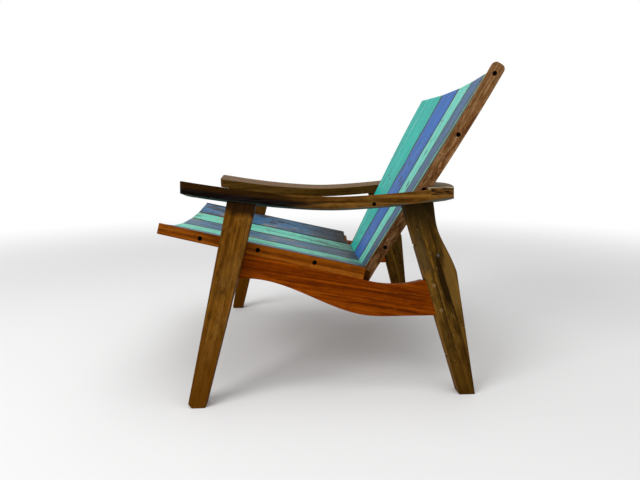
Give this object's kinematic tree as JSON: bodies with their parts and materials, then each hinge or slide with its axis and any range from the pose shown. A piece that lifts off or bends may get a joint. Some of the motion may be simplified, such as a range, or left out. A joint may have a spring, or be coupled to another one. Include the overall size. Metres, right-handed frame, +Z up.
{
  "type": "garden armchair",
  "caption": "Low wooden garden armchair with splayed plank legs, dipped arms, a dished slatted seat and a reclined slatted back that fans out above the arms.",
  "frame": {"origin": "on the floor, in the middle of the chair's width and length", "axes": "+Z up, -Y the way a sitter faces, +X towards the sitter's left"},
  "size_m": [0.814, 0.8432, 0.8109],
  "materials": {
    "leg_timber": "worn oiled timber",
    "rail_timber": "worn oiled timber",
    "arm_timber": "dark weathered timber",
    "back_timber": "bare timber",
    "teal_paint": "faded chalky paint on timber",
    "mint_paint": "faded chalky paint on timber",
    "blue_paint": "faded chalky paint on timber",
    "grey_blue_paint": "faded chalky paint on timber",
    "pale_peg": "bare end grain",
    "steel": "dull zinc"
  },
  "bodies": {
    "root": {"front_leg_left": "leg_timber", "rear_leg_left": "leg_timber", "side_apron_left": "rail_timber", "seat_rail_left": "rail_timber", "arm_left": "arm_timber", "back_stile_left": "back_timber", "front_leg_right": "leg_timber", "rear_leg_right": "leg_timber", "side_apron_right": "rail_timber", "seat_rail_right": "rail_timber", "arm_right": "arm_timber", "back_stile_right": "back_timber", "rear_cross_rail": "arm_timber", "rear_seat_beam": "rail_timber", "seat_batten_front": "back_timber", "seat_batten_middle": "back_timber", "seat_batten_rear": "back_timber", "back_batten_bottom": "back_timber", "back_batten_lower": "back_timber", "back_batten_upper": "back_timber", "back_batten_top": "back_timber", "seat_slat_right": "blue_paint", "seat_slat_mid_right": "mint_paint", "seat_slat_middle": "grey_blue_paint", "seat_slat_mid_left": "mint_paint", "seat_slat_left": "grey_blue_paint", "back_slat_right": "teal_paint", "back_slat_mid_right": "blue_paint", "back_slat_middle": "mint_paint", "back_slat_mid_left": "grey_blue_paint", "back_slat_left": "mint_paint", "apron_pegs": "pale_peg", "arm_dowels": "pale_peg", "seat_rail_screws": "steel", "back_stile_screws": "steel", "back_foot_screws": "steel", "front_leg_screws": "steel", "rear_leg_screws": "steel", "arm_lap_screws": "steel", "seat_slat_nails": "steel", "back_slat_nails": "steel"}
  },
  "joints": []
}
